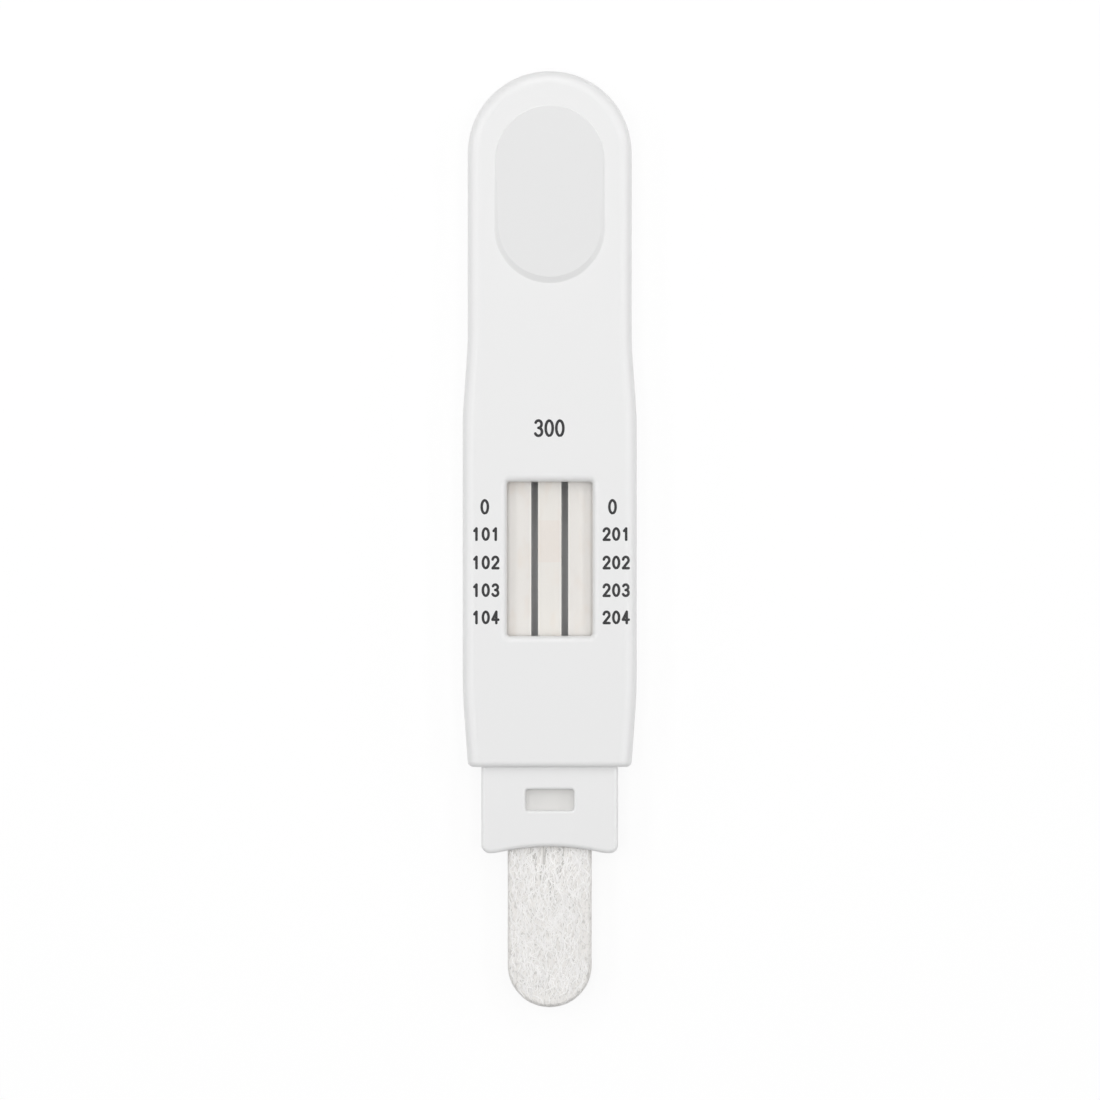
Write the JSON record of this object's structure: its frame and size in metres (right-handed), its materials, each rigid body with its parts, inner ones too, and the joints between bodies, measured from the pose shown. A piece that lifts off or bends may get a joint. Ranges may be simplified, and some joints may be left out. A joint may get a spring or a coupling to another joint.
{
  "type": "lateral flow cassette",
  "caption": "Slim oral fluid lateral flow cassette: long snap-together casing with thumb rest, result window on test strips, stepped neck with indicator slot and protruding fibre collector pad.",
  "frame": {"origin": "on the back face, in the middle of the overall length and width", "axes": "+Z out of the printed front face, +Y towards the thumb grip, -Y towards the collector pad's tip, +X to the right seen from the front"},
  "size_m": [0.027, 0.145, 0.0099],
  "materials": {
    "casing": "moulded white, satin gloss",
    "collector_fibre": "bonded fibre, matte",
    "indicator_paper": "matte paper",
    "backing_card": "matte white card",
    "membrane": "matte nitrocellulose",
    "wick": "matte wicking paper",
    "reagent_pad": "matte, faintly tan impregnated paper",
    "conjugate_pad": "glass fibre, faintly pink",
    "sample_pad": "matte cellulose fibre",
    "absorbent_pad": "thick blotting paper"
  },
  "bodies": {
    "root": {"front_shell": "casing", "back_shell": "casing", "collector_pad": "collector_fibre", "saturation_indicator": "indicator_paper", "left_backing_card": "backing_card", "left_membrane": "membrane", "left_conjugate_pad": "conjugate_pad", "left_sample_pad": "sample_pad", "left_absorbent_pad": "absorbent_pad", "right_backing_card": "backing_card", "right_membrane": "membrane", "right_conjugate_pad": "conjugate_pad", "right_sample_pad": "sample_pad", "right_absorbent_pad": "absorbent_pad", "middle_backing_card": "backing_card", "middle_lower_wick": "wick", "middle_upper_wick": "wick", "middle_reagent_pad": "reagent_pad", "middle_sample_pad": "sample_pad", "middle_absorbent_pad": "absorbent_pad"}
  },
  "joints": []
}
